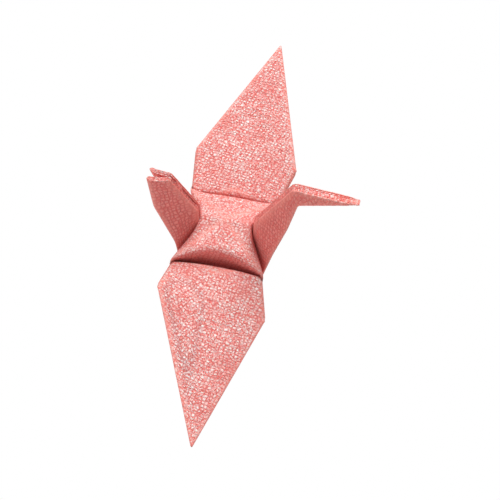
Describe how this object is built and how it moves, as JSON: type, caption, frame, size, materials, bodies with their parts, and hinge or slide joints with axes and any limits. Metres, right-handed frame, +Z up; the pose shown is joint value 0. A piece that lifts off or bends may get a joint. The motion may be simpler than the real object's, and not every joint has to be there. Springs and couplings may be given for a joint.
{
  "type": "origami crane",
  "caption": "Crane folded from one square of embossed pearl paper, with spread wings, a puffed back, a bent neck and a raised tail.",
  "frame": {"origin": "middle of the crane's outline in plan, on the surface that it stands on", "axes": "+X towards the head, +Y along the raised wing, +Z up"},
  "size_m": [0.037, 0.0776, 0.0287],
  "materials": {
    "pearl_paper": "pearlescent, pebble-embossed"
  },
  "bodies": {
    "root": {"folded_sheet": "pearl_paper"}
  },
  "joints": []
}
